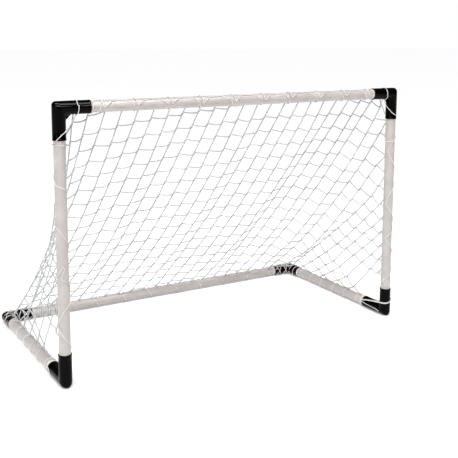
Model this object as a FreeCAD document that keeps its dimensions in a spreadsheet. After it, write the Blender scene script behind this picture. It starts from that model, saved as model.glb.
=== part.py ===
import FreeCAD, Part
import math
import os

import Sketcher
from FreeCAD import Rotation, Vector

# A small garden football goal. Six plastic tubes push into six moulded elbows: a front frame of two posts
# and a crossbar, and a ground frame of two side tubes and a rear tube. A net is laced to the tubes.
# +Z is up, the mouth faces -Y, and the origin is on the ground at the middle of the footprint.
# The front frame lifts out of the two foot elbows, which is how the goal is taken down.

DRIVING_SIZES = {
    # overall box, over the elbows
    "overall_width": 914.0,
    "overall_height": 610.0,
    "overall_depth": 480.0,
    # tubes
    "tube_diameter": 25.0,
    "tube_wall": 1.5,
    # elbows: a reach is how far the stop ledge stands off the side of the other leg's tube
    "socket_clearance": 0.05,
    "socket_wall": 1.65,
    "socket_depth": 40.0,
    "seat_clearance": 0.1,
    "rim_width": 3.5,
    "top_reach": 13.5,
    "foot_upright_reach": 7.5,
    "foot_side_reach": 27.5,
    "rear_side_reach": 1.5,
    "rear_cross_reach": 8.5,
    "web_reach": 11.0,
    "web_thickness": 6.0,
    "pad_length": 30.0,
    "pad_width": 10.0,
    # cord
    "cord_diameter": 1.8,
    "cord_clearance": 0.1,
    "lacing_lift": 0.2,
    "runner_lift": 0.4,
    "wrap_spacing": 0.8,
    "wrap_margin": 12.0,
    # net
    "net_thickness": 1.6,
    "net_clearance": 2.4,
    "net_side_clearance": 0.4,
    "net_edge_drop": 5.0,
    "net_corner_margin": 11.0,
    "drape_forward": 80.0,
    "drape_height": 250.0,
    "drape_radius": 170.0,
}

# Lengths worked out from the driving sizes, written as expressions for the spreadsheet's cells.
TUBE_RADIUS = "(sizes.tube_diameter / 2)"
TUBE_BORE_RADIUS = f"({TUBE_RADIUS} - sizes.tube_wall)"
CORD_RADIUS = "(sizes.cord_diameter / 2)"
WRAP_RADIUS = f"({TUBE_RADIUS} + sizes.cord_clearance + {CORD_RADIUS})"
RIM_RADIUS = f"({TUBE_RADIUS} + sizes.cord_clearance + sizes.cord_diameter + sizes.lacing_lift)"
SOCKET_BORE_RADIUS = f"({TUBE_RADIUS} + sizes.socket_clearance)"
SOCKET_RADIUS = f"({SOCKET_BORE_RADIUS} + sizes.socket_wall)"
WEB_SIDE = f"(2 * {SOCKET_RADIUS} + sizes.web_reach)"
WRAP_PITCH = "(sizes.cord_diameter + sizes.wrap_spacing)"
NET_OFFSET = f"({RIM_RADIUS} + sizes.net_clearance)"
NET_CORNER = "(sizes.web_reach + sizes.net_corner_margin)"

# Legs of the elbows, from the corner of the two tube axes to the mouth of the socket.
TOP_LEG = f"({TUBE_RADIUS} + sizes.top_reach + sizes.socket_depth)"
FOOT_UPRIGHT_LEG = f"({TUBE_RADIUS} + sizes.foot_upright_reach + sizes.socket_depth)"
FOOT_SIDE_LEG = f"({TUBE_RADIUS} + sizes.foot_side_reach + sizes.socket_depth)"
REAR_SIDE_LEG = f"({TUBE_RADIUS} + sizes.rear_side_reach + sizes.socket_depth)"
REAR_CROSS_LEG = f"({TUBE_RADIUS} + sizes.rear_cross_reach + sizes.socket_depth)"

# Tube axes of the goal.
SIDE_X = f"(sizes.overall_width / 2 - {RIM_RADIUS})"
FRONT_Y = f"({RIM_RADIUS} - sizes.overall_depth / 2)"
REAR_Y = f"(sizes.overall_depth / 2 - {RIM_RADIUS})"
GROUND_Z = RIM_RADIUS
TOP_Z = f"(sizes.overall_height - {RIM_RADIUS})"

# Unit directions.
LEFT = Vector(-1, 0, 0)
RIGHT = Vector(1, 0, 0)
FRONT = Vector(0, -1, 0)
BACK = Vector(0, 1, 0)
UP = Vector(0, 0, 1)
DOWN = Vector(0, 0, -1)

doc = FreeCAD.newDocument("garden_goal")
sheet = doc.addObject("Spreadsheet::Sheet", "sizes")
for row, (alias, size) in enumerate(DRIVING_SIZES.items(), start=1):
    sheet.set(f"A{row}", alias)
    sheet.set(f"B{row}", str(size))
    sheet.setAlias(f"B{row}", alias)
doc.recompute()

subparts = []
gauge = doc.addObject("App::FeaturePython", "gauge")
gauge.addProperty("App::PropertyFloat", "reading")


def value(expression):
    """Present value of an expression, for drawing a sketch at its right size from the start."""
    gauge.setExpression("reading", expression)
    gauge.recompute()
    return gauge.reading


def register(subpart, label):
    """Give a finished sub-part its own name and add it to the list that is written out."""
    subpart.Label = label
    subparts.append(subpart)
    return subpart


def place(subpart, corner, rotation):
    """Turn a sub-part, and tie its three coordinates to the spreadsheet."""
    subpart.Placement = FreeCAD.Placement(Vector(0, 0, 0), rotation)
    for axis, expression in zip("xyz", corner):
        subpart.setExpression(f"Placement.Base.{axis}", expression)


def turned(z_direction, x_direction):
    """Rotation that sends local Z and X to the two given directions."""
    return Rotation(x_direction, z_direction.cross(x_direction), z_direction, "ZXY")


def origin_plane(body, role):
    return next(plane for plane in body.Origin.OriginFeatures if plane.Role == role)


def new_sketch(body, name, role):
    """Sketch on one of the body's own origin planes."""
    sketch = body.newObject("Sketcher::SketchObject", name)
    sketch.AttachmentSupport = [(origin_plane(body, role), "")]
    sketch.MapMode = "FlatFace"
    return sketch


class Outline:
    """Geometry of one sketch. Its rules and dimensions go in together, so that the solver starts from the
    drawn shape and can't mirror a piece of it."""

    def __init__(self, body, name, role):
        self.sketch = new_sketch(body, name, role)
        self.rules = []
        self.dimensions = []

    def circle(self, radius):
        return self.sketch.addGeometry(Part.Circle(Vector(0, 0, 0), UP, radius), False)

    def line(self, start, end, construction=False):
        return self.sketch.addGeometry(Part.LineSegment(start, end), construction)

    def arc(self, start, middle, end):
        return self.sketch.addGeometry(Part.Arc(start, middle, end), False)

    def rule(self, kind, *where):
        self.rules.append(Sketcher.Constraint(kind, *where))

    def dimension(self, name, expression, kind, *where):
        self.dimensions.append((name, expression, Sketcher.Constraint(kind, *where)))

    def settle(self):
        """Add every rule and dimension, and tie the dimensions to the spreadsheet."""
        self.sketch.addConstraint(self.rules + [constraint for _, _, constraint in self.dimensions])
        for index, (name, expression, _) in enumerate(self.dimensions, start=len(self.rules)):
            self.sketch.renameConstraint(index, name)
            self.sketch.setExpression(f"Constraints.{name}", expression)
        return self.sketch


def primitive(body, kind, name, sizes, base=None, rotation=None):
    """Additive or subtractive PartDesign primitive whose sizes and place follow the spreadsheet."""
    feature = body.newObject(f"PartDesign::{kind}", name)
    feature.Placement = FreeCAD.Placement(Vector(0, 0, 0), rotation or Rotation())
    for size, expression in sizes.items():
        feature.setExpression(size, expression)
    for axis, expression in (base or {}).items():
        feature.setExpression(f"Placement.Base.{axis}", expression)
    return feature


# Tubes: plain round plastic tube, cut square at both ends. Each end stands on the stop ledge of a socket.


def tube(label, start, direction, across, length):
    """Tube from a start point along a direction."""
    body = doc.addObject("PartDesign::Body", label)
    section = Outline(body, f"{label}_section", "XY_Plane")
    for name, radius in (("outside", TUBE_RADIUS), ("bore", TUBE_BORE_RADIUS)):
        circle = section.circle(value(radius))
        section.rule("Coincident", circle, 3, -1, 1)
        section.dimension(name, radius, "Radius", circle, value(radius))
    pad = body.newObject("PartDesign::Pad", f"{label}_wall")
    pad.Profile = section.settle()
    pad.setExpression("Length", length)
    place(body, start, turned(direction, across))
    return register(body, label)


def seat(leg):
    """Distance from the corner of the axes to the end of a tube that is pushed home."""
    return f"({leg} - sizes.socket_depth + sizes.seat_clearance)"


top_seat = seat(TOP_LEG)
upright_seat = seat(FOOT_UPRIGHT_LEG)
foot_side_seat = seat(FOOT_SIDE_LEG)
rear_side_seat = seat(REAR_SIDE_LEG)
cross_seat = seat(REAR_CROSS_LEG)

tube(
    "crossbar_tube",
    (f"-{SIDE_X} + {top_seat}", FRONT_Y, TOP_Z),
    RIGHT,
    BACK,
    f"2 * {SIDE_X} - 2 * {top_seat}",
)
tube(
    "rear_tube",
    (f"-{SIDE_X} + {cross_seat}", REAR_Y, GROUND_Z),
    RIGHT,
    BACK,
    f"2 * {SIDE_X} - 2 * {cross_seat}",
)
for side, side_x in (("left", f"-{SIDE_X}"), ("right", SIDE_X)):
    tube(
        f"{side}_post_tube",
        (side_x, FRONT_Y, f"{GROUND_Z} + {upright_seat}"),
        UP,
        RIGHT,
        f"{TOP_Z} - {GROUND_Z} - {upright_seat} - {top_seat}",
    )
    tube(
        f"{side}_side_tube",
        (side_x, f"{FRONT_Y} + {foot_side_seat}", GROUND_Z),
        BACK,
        RIGHT,
        f"{REAR_Y} - {FRONT_Y} - {foot_side_seat} - {rear_side_seat}",
    )


# Elbows: moulded corner with two sockets, a bead round each mouth, a web across the inner corner, and a
# ledge in each socket where the bore steps down to the tube's own bore. Local Z and X are the two legs.


def elbow(label, corner, first, first_leg, second, second_leg, on_ground=True):
    """Elbow at a corner, with a leg along each of two directions."""
    body = doc.addObject("PartDesign::Body", label)
    along_x = Rotation(UP, RIGHT)
    legs = (("first", first_leg, "z", Rotation()), ("second", second_leg, "x", along_x))
    for leg, length, axis, rotation in legs:
        outside = {"Radius": SOCKET_RADIUS, "Height": length}
        primitive(body, "AdditiveCylinder", f"{label}_{leg}_socket", outside, None, rotation)
    primitive(body, "AdditiveSphere", f"{label}_knuckle", {"Radius": RIM_RADIUS})
    for leg, length, axis, rotation in legs:
        bead = {"Radius": RIM_RADIUS, "Height": "sizes.rim_width"}
        mouth = {axis: f"{length} - sizes.rim_width"}
        primitive(body, "AdditiveCylinder", f"{label}_{leg}_bead", bead, mouth, rotation)
    web_across_corner(body, label)
    if on_ground:
        ground_pad(body, label, turned(first, second).inverted().multVec(DOWN))
    for leg, length, axis, rotation in legs:
        bore = {"Radius": SOCKET_BORE_RADIUS, "Height": "sizes.socket_depth"}
        ledge = {axis: f"{length} - sizes.socket_depth"}
        primitive(body, "SubtractiveCylinder", f"{label}_{leg}_bore", bore, ledge, rotation)
        waterway = {"Radius": TUBE_BORE_RADIUS, "Height": length}
        primitive(body, "SubtractiveCylinder", f"{label}_{leg}_core", waterway, None, rotation)
    primitive(body, "SubtractiveSphere", f"{label}_inner_bend", {"Radius": TUBE_BORE_RADIUS})
    place(body, corner, turned(first, second))
    return register(body, label)


def web_across_corner(body, label):
    """Flat triangular web in the plane of the legs, whose slanted edge shows inside the corner."""
    web = Outline(body, f"{label}_web_outline", "XZ_Plane")
    side = value(WEB_SIDE)
    corners = (Vector(0, 0, 0), Vector(side, 0, 0), Vector(0, side, 0))
    base, slant, upright = [
        web.line(start, end) for start, end in zip(corners, corners[1:] + corners[:1])
    ]
    for line, following in ((base, slant), (slant, upright), (upright, base)):
        web.rule("Coincident", line, 2, following, 1)
    web.rule("Coincident", base, 1, -1, 1)
    web.rule("Horizontal", base)
    web.rule("Vertical", upright)
    web.dimension("along", WEB_SIDE, "DistanceX", base, 1, base, 2, side)
    web.dimension("up", WEB_SIDE, "DistanceY", upright, 2, upright, 1, side)
    pad = body.newObject("PartDesign::Pad", f"{label}_web")
    pad.Profile = web.settle()
    pad.SideType = "Symmetric"
    pad.setExpression("Length", "sizes.web_thickness")


def ground_pad(body, label, ground):
    """Narrow flat pad along the second leg, on the side that faces the ground in the elbow's own frame."""
    across = RIGHT.cross(ground)
    base = {
        axis: f"{round(down)} * {RIM_RADIUS} - {round(sideways)} * sizes.pad_width / 2"
        for axis, down, sideways in zip("xyz", ground, across)
    }
    sizes = {
        "Length": "sizes.pad_length",
        "Width": "sizes.pad_width",
        "Height": f"{RIM_RADIUS} / 2",
    }
    primitive(body, "AdditiveBox", f"{label}_pad", sizes, base, turned(ground * -1, RIGHT))


for side, side_x, inwards in (("left", f"-{SIDE_X}", RIGHT), ("right", SIDE_X, LEFT)):
    elbow(
        f"top_{side}_elbow",
        (side_x, FRONT_Y, TOP_Z),
        DOWN,
        TOP_LEG,
        inwards,
        TOP_LEG,
        on_ground=False,
    )
    elbow(
        f"front_{side}_foot_elbow",
        (side_x, FRONT_Y, GROUND_Z),
        UP,
        FOOT_UPRIGHT_LEG,
        BACK,
        FOOT_SIDE_LEG,
    )
    elbow(
        f"rear_{side}_elbow",
        (side_x, REAR_Y, GROUND_Z),
        inwards,
        REAR_CROSS_LEG,
        FRONT,
        REAR_SIDE_LEG,
    )


# Lacing: a thin cord that runs along each tube and is hitched round it at even steps. Each corner has a
# tie of its own, where the lacing is wound off beside the socket's bead.


def hitched_cord(label, axis_start, direction, behind, hitches):
    """Cord that runs along the tube on its `behind` side and is wound round it at each hitch. Hitches
    are distances from the start of the tube's axis, in order."""
    loops = []
    for number, distance in enumerate(hitches, start=1):
        loop = doc.addObject("Part::Torus", f"{label}_loop_{number}")
        loop.setExpression("Radius1", WRAP_RADIUS)
        loop.setExpression("Radius2", CORD_RADIUS)
        place(loop, along(axis_start, direction, distance), turned(direction, behind * -1))
        loops.append(loop)
    runner = doc.addObject("Part::Cylinder", f"{label}_runner")
    runner.setExpression("Radius", CORD_RADIUS)
    runner.setExpression("Height", f"{hitches[-1]} - {hitches[0]} + 2 * sizes.cord_diameter")
    start = along(axis_start, direction, f"{hitches[0]} - sizes.cord_diameter")
    place(runner, along(start, behind, f"{WRAP_RADIUS} + sizes.runner_lift"), turned(direction, behind))
    cord = doc.addObject("Part::MultiFuse", label)
    cord.Shapes = [*loops, runner]
    return register(cord, label)


def along(point, direction, distance):
    """Point at a distance from another, as three expressions."""
    moved = []
    for start, step in zip(point, direction):
        sign = {0: None, 1: "+", -1: "-"}[round(step)]
        moved.append(f"{start} {sign} ({distance})" if sign else start)
    return tuple(moved)


def even_steps(first, last, count):
    """Distances of `count` evenly spaced hitches from first to last."""
    return [f"({first}) + (({last}) - ({first})) * {step} / {count - 1}" for step in range(count)]


def tie(label, axis_start, direction, behind, leg):
    """Three close turns on the tube, just outside the mouth of a socket."""
    turns = [f"{leg} + {WRAP_PITCH} * {turn}" for turn in (1, 2, 3)]
    return hitched_cord(label, axis_start, direction, behind, turns)


WIDTH = f"(2 * {SIDE_X})"
RISE = f"({TOP_Z} - {GROUND_Z})"
RUN = f"({REAR_Y} - {FRONT_Y})"
clear_of_tie = f"4 * {WRAP_PITCH} + sizes.wrap_margin"

hitched_cord(
    "crossbar_lacing",
    (f"-{SIDE_X}", FRONT_Y, TOP_Z),
    RIGHT,
    BACK,
    even_steps(
        f"{TOP_LEG} + {clear_of_tie}",
        f"{WIDTH} - {TOP_LEG} - ({clear_of_tie})",
        10,
    ),
)
hitched_cord(
    "rear_lacing",
    (f"-{SIDE_X}", REAR_Y, GROUND_Z),
    RIGHT,
    UP,
    even_steps(
        f"{REAR_CROSS_LEG} + {clear_of_tie}",
        f"{WIDTH} - {REAR_CROSS_LEG} - ({clear_of_tie})",
        10,
    ),
)
for side, side_x, inwards in (("left", f"-{SIDE_X}", RIGHT), ("right", SIDE_X, LEFT)):
    hitched_cord(
        f"{side}_post_lacing",
        (side_x, FRONT_Y, GROUND_Z),
        UP,
        BACK,
        even_steps(
            f"{FOOT_UPRIGHT_LEG} + {clear_of_tie}",
            f"{RISE} - {TOP_LEG} - ({clear_of_tie})",
            6,
        ),
    )
    hitched_cord(
        f"{side}_side_lacing",
        (side_x, FRONT_Y, GROUND_Z),
        BACK,
        UP,
        even_steps(
            f"{FOOT_SIDE_LEG} + {clear_of_tie}",
            f"{RUN} - {REAR_SIDE_LEG} - ({clear_of_tie})",
            5,
        ),
    )
    tie(f"top_{side}_tie", (side_x, FRONT_Y, TOP_Z), inwards, BACK, TOP_LEG)
    tie(f"front_{side}_tie", (side_x, FRONT_Y, GROUND_Z), BACK, UP, FOOT_SIDE_LEG)
    tie(f"rear_{side}_tie", (side_x, REAR_Y, GROUND_Z), inwards, UP, REAR_CROSS_LEG)


# Net: knotted netting that hangs from the crossbar, falls steeply, then sweeps back to the rear tube. Its
# two sides fold forwards to the posts and side tubes. Each of the three stretches is a thin solid sheet.

# Corners of the drape, as expressions for Y and Z: at the crossbar, at the bend and at the rear tube.
HEAD = (f"({FRONT_Y} + {NET_OFFSET})", f"({TOP_Z} - sizes.net_edge_drop)")
BEND = (f"({FRONT_Y} + sizes.drape_forward)", f"({GROUND_Z} + sizes.drape_height)")
HEM = (f"({REAR_Y} - sizes.net_edge_drop)", f"({GROUND_Z} + {NET_OFFSET})")


def spot(corner):
    """Present place of a corner in the sketch's plane."""
    return Vector(value(corner[0]), value(corner[1]), 0)


def fall_line(outline, name, step):
    """Line, arc and line down the drape, moved back and up by a step. Two construction lines through the
    corners of the drape hold it in place."""
    corners = [(f"{back} + {step}", f"{up} + {step}") for back, up in (HEAD, BEND, HEM)]
    head, bend, hem = [spot(corner) for corner in corners]
    guides = (outline.line(head, bend, True), outline.line(bend, hem, True))
    outline.rule("Coincident", guides[0], 2, guides[1], 1)
    ends = ((guides[0], 1), (guides[0], 2), (guides[1], 2))
    for label, (back, up), end in zip(("head", "bend", "hem"), corners, ends):
        outline.dimension(f"{name}_{label}_back", back, "DistanceX", -1, 1, *end, value(back))
        outline.dimension(f"{name}_{label}_up", up, "DistanceY", -1, 1, *end, value(up))
    fall = (bend - head).normalize()
    sweep = (hem - bend).normalize()
    half_turn = math.acos(fall.dot(sweep)) / 2
    radius = value("sizes.drape_radius")
    start = bend - fall * (radius * math.tan(half_turn))
    end = bend + sweep * (radius * math.tan(half_turn))
    middle = bend + (sweep - fall).normalize() * (radius / math.cos(half_turn) - radius)
    upper = outline.line(head, start)
    arc = outline.arc(start, middle, end)
    lower = outline.line(end, hem)
    outline.rule("Tangent", upper, 2, arc, 1)
    outline.rule("Tangent", arc, 2, lower, 1)
    outline.rule("PointOnObject", guides[0], 2, upper)
    outline.rule("PointOnObject", guides[0], 2, lower)
    outline.dimension(f"{name}_radius", "sizes.drape_radius", "Radius", arc, radius)
    return guides, upper, lower


def net_sheet(label, draw, thickness, x_place):
    """Sheet whose outline, in the Y-Z plane, is padded equally to both sides of a place along X."""
    body = doc.addObject("PartDesign::Body", label)
    outline = Outline(body, f"{label}_outline", "YZ_Plane")
    draw(outline)
    pad = body.newObject("PartDesign::Pad", f"{label}_pad")
    pad.Profile = outline.settle()
    pad.SideType = "Symmetric"
    pad.setExpression("Length", thickness)
    place(body, (x_place, "0", "0"), Rotation())
    return register(body, label)


def draw_back(outline):
    """Section of the back sheet: the fall line, and the same line a step behind it."""
    lines = []
    for name, step in (("front", "0"), ("rear", "sizes.net_thickness")):
        guides, upper, lower = fall_line(outline, name, step)
        outline.rule("Coincident", upper, 1, guides[0], 1)
        outline.rule("Coincident", lower, 2, guides[1], 2)
        lines.append((upper, lower))
    back_and_up = Vector(1, 1, 0) * value("sizes.net_thickness")
    for corner, piece, end in ((HEAD, 0, 1), (HEM, 1, 2)):
        cap = outline.line(spot(corner), spot(corner) + back_and_up)
        outline.rule("Coincident", cap, 1, lines[0][piece], end)
        outline.rule("Coincident", cap, 2, lines[1][piece], end)


def draw_side(outline):
    """Outline of a side sheet: the fall line, then forwards above the side tube, across the foot elbow's
    corner, and up behind the post to the top elbow's mouth."""
    guides, upper, lower = fall_line(outline, "edge", "0")
    outline.rule("PointOnObject", guides[0], 1, upper)
    outline.rule("Coincident", lower, 2, guides[1], 2)
    behind_post = HEAD[0]
    above_tube = HEM[1]
    knee_up = f"({TOP_Z} - {TOP_LEG})"
    toe = (f"({behind_post} + {NET_CORNER})", above_tube)
    shin = (behind_post, f"({above_tube} + {NET_CORNER})")
    knee = (behind_post, knee_up)
    head = spot(HEAD)
    fall = spot(BEND) - head
    crown = head + fall * ((value(knee_up) - head.y) / fall.y)
    bottom = outline.line(spot(HEM), spot(toe))
    corner = outline.line(spot(toe), spot(shin))
    front = outline.line(spot(shin), spot(knee))
    cap = outline.line(spot(knee), crown)
    for piece, following in ((lower, bottom), (bottom, corner), (corner, front), (front, cap)):
        outline.rule("Coincident", piece, 2, following, 1)
    outline.rule("Coincident", cap, 2, upper, 1)
    outline.rule("Horizontal", bottom)
    outline.rule("Vertical", front)
    outline.rule("Horizontal", cap)
    dimensions = (
        ("toe_back", toe[0], "DistanceX", bottom),
        ("shin_back", shin[0], "DistanceX", corner),
        ("shin_up", shin[1], "DistanceY", corner),
        ("knee_up", knee_up, "DistanceY", front),
    )
    for name, expression, kind, line in dimensions:
        outline.dimension(name, expression, kind, -1, 1, line, 2, value(expression))


back_width = f"2 * {SIDE_X} - sizes.net_thickness - 2 * sizes.net_side_clearance"
net_sheet("net_back", draw_back, back_width, "0")
net_sheet("net_left", draw_side, "sizes.net_thickness", f"-{SIDE_X}")
net_sheet("net_right", draw_side, "sizes.net_thickness", SIDE_X)

doc.recompute()

failed = [item.Name for item in doc.Objects if "Invalid" in item.State or "Error" in item.State]
for subpart in subparts:
    if subpart.Shape.isNull() or not subpart.Shape.isValid() or not subpart.Shape.Solids:
        failed.append(subpart.Label)
if failed:
    raise RuntimeError("these did not build: " + ", ".join(failed))

os.makedirs("parts", exist_ok=True)
for subpart in subparts:
    subpart.Shape.exportStep(f"parts/{subpart.Label}.step")
    box = subpart.Shape.BoundBox
    print(f"{subpart.Label}: {box.XLength:.1f} x {box.YLength:.1f} x {box.ZLength:.1f} mm")
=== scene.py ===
import math

import bpy
import numpy as np
from mathutils import Matrix, Vector


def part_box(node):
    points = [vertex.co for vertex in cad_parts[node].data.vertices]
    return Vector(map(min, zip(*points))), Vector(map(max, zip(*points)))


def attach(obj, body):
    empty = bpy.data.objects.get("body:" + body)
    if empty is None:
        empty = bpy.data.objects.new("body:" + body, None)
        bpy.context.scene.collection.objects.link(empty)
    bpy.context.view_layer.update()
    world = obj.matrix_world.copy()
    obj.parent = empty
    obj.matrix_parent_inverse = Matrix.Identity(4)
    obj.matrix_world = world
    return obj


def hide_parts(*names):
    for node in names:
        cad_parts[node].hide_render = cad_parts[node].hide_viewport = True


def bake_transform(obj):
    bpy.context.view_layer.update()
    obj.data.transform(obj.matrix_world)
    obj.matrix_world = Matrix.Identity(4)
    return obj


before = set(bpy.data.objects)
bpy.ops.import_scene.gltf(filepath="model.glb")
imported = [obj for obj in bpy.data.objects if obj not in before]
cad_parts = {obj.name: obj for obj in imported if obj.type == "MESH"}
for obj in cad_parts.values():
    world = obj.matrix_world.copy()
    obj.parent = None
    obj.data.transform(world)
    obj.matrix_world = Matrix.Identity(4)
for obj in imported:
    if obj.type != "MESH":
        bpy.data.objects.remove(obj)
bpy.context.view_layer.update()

# Tubes. Six lengths of thin-walled white uPVC tube, extruded and sawn square, pushed into the elbows.
# Extruding leaves faint streaks along the tube, and the plastic is satin, slightly warm and a little scuffed.


def linear(hex_colour):
    """Linear colour with full alpha, from an sRGB hex value."""
    channels = [int(hex_colour[i : i + 2], 16) / 255 for i in (1, 3, 5)]
    return (*[c / 12.92 if c <= 0.04045 else ((c + 0.055) / 1.055) ** 2.4 for c in channels], 1.0)


def add(owner, kind, inputs=None, stops=(), **settings):
    """Add a node to a material or the world, with its settings, and set or link its inputs. A colour ramp
    also takes its stops, each a place and a hex colour."""
    node = owner.node_tree.nodes.new(kind)
    for name, setting in settings.items():
        setattr(node, name, setting)
    for name, source in (inputs or {}).items():
        if isinstance(source, bpy.types.NodeSocket):
            owner.node_tree.links.new(source, node.inputs[name])
        else:
            node.inputs[name].default_value = source
    while stops and len(node.color_ramp.elements) < len(stops):
        node.color_ramp.elements.new(0.5)
    for index, (place, colour) in enumerate(stops):
        node.color_ramp.elements[index].position = place
        node.color_ramp.elements[index].color = linear(colour)
    return node


def new_material(name):
    material = bpy.data.materials.new(name)
    material.use_nodes = True
    material.node_tree.nodes.clear()
    return material


def finish_material(material, shader):
    add(material, "ShaderNodeOutputMaterial", {"Surface": shader.outputs[0]})
    return material


TUBE_AXES = {
    "crossbar_tube": "X",
    "rear_tube": "X",
    "left_post_tube": "Z",
    "right_post_tube": "Z",
    "left_side_tube": "Y",
    "right_side_tube": "Y",
}
# Real die streaks are finer. These are drawn as wide as they need to be to show.
STREAK_WIDTH = 0.0016
STREAK_LENGTH = 0.25
STREAK_RELIEF = 0.00006
SCUFF_SIZE = 0.03


def extruded_upvc(axis):
    """Satin white uPVC whose die streaks run along one axis."""
    material = new_material(f"uPVC white extruded satin {axis}")
    place = add(material, "ShaderNodeTexCoord").outputs["Object"]
    stretch = [1 / STREAK_LENGTH if letter == axis else 1 / STREAK_WIDTH for letter in "XYZ"]
    along = add(material, "ShaderNodeMapping", {"Vector": place, "Scale": stretch}).outputs[0]
    streaks = add(material, "ShaderNodeTexNoise", {"Vector": along, "Scale": 1.0, "Detail": 3.0})
    scuffs = add(
        material,
        "ShaderNodeTexNoise",
        {"Vector": place, "Scale": 1 / SCUFF_SIZE, "Detail": 5.0, "Roughness": 0.62},
    )
    mixed = add(
        material,
        "ShaderNodeMath",
        {0: streaks.outputs[0], 1: 0.35, 2: scuffs.outputs[0]},
        operation="MULTIPLY_ADD",
    )
    white = ((0.4, "#A9A29F"), (0.66, "#B1ABA8"), (0.95, "#BAB4B1"))
    colour = add(material, "ShaderNodeValToRGB", {"Fac": mixed.outputs[0]}, white)
    rough = add(
        material,
        "ShaderNodeMapRange",
        {"Value": scuffs.outputs[0], "From Min": 0.3, "From Max": 0.7, "To Min": 0.34, "To Max": 0.48},
    )
    bump = add(
        material,
        "ShaderNodeBump",
        {"Height": streaks.outputs[0], "Distance": STREAK_RELIEF, "Strength": 0.5},
    )
    shader = add(
        material,
        "ShaderNodeBsdfPrincipled",
        {
            "Base Color": colour.outputs[0],
            "Roughness": rough.outputs[0],
            "IOR": 1.53,
            "Normal": bump.outputs[0],
            "Subsurface Weight": 0.08,
            "Subsurface Radius": (0.004, 0.003, 0.002),
            "Subsurface Scale": 1.0,
        },
    )
    return finish_material(material, shader)


upvc = {axis: extruded_upvc(axis) for axis in "XYZ"}
for name, axis in TUBE_AXES.items():
    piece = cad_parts[name]
    for surface in piece.material_slots:
        surface.material = upvc[axis]
    if not piece.material_slots:
        piece.data.materials.append(upvc[axis])

# Where the tubes' axes run, read from the tubes themselves.
post_low, post_high = [Vector(corner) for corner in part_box("right_post_tube")]
bar_low, bar_high = [Vector(corner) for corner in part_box("crossbar_tube")]
rear_low, rear_high = [Vector(corner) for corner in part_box("rear_tube")]
TUBE_RADIUS = (post_high.x - post_low.x) / 2
SIDE_X = (post_high.x + post_low.x) / 2
FRONT_Y = (post_high.y + post_low.y) / 2
REAR_Y = (rear_high.y + rear_low.y) / 2
GROUND_Z = (rear_high.z + rear_low.z) / 2
TOP_Z = (bar_high.z + bar_low.z) / 2

# Elbows. Black polypropylene, injection moulded in a polished mould, so they are glossy with a faint peel.
# Each has two round sockets with a bead at the mouth, a mitred outer corner and a web across the inner one.

BEAD_RADIUS = GROUND_Z
BEAD_HEIGHT = 0.0004
BEAD_WIDTH = 0.0035
BEAD_LIP = 0.0006
SOCKET_RADIUS = BEAD_RADIUS - BEAD_HEIGHT
SOCKET_CLEARANCE = 0.00005
SOCKET_BORE = TUBE_RADIUS + SOCKET_CLEARANCE
SOCKET_DEPTH = 0.040
SEAT_LEDGE = 0.0015
WATERWAY = TUBE_RADIUS - SEAT_LEDGE
OUTER_ROUND = 0.0085
INNER_ROUND = 0.0025
WATERWAY_ROUNDS = (0.002, 0.001)
PARTING_LINE = 0.00012
AROUND = 48
WEB_REACH = 0.011
WEB_THICKNESS = 0.006
WEB_EASE = 0.0012
# The orange peel's waves are a little over 1 mm across, and the rubbed patches about 18 mm.
PEEL_SIZE = 1 / 900
PEEL_RELIEF = 0.00003
RUB_SIZE = 1 / 55


def mesh_object(name, vertices, faces, material, smooth=True):
    mesh = bpy.data.meshes.new(name)
    mesh.from_pydata([tuple(v) for v in vertices], [], faces)
    mesh.validate()
    mesh.polygons.foreach_set("use_smooth", [smooth] * len(mesh.polygons))
    mesh.materials.append(material)
    piece = bpy.data.objects.new(name, mesh)
    bpy.context.scene.collection.objects.link(piece)
    return piece


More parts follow.
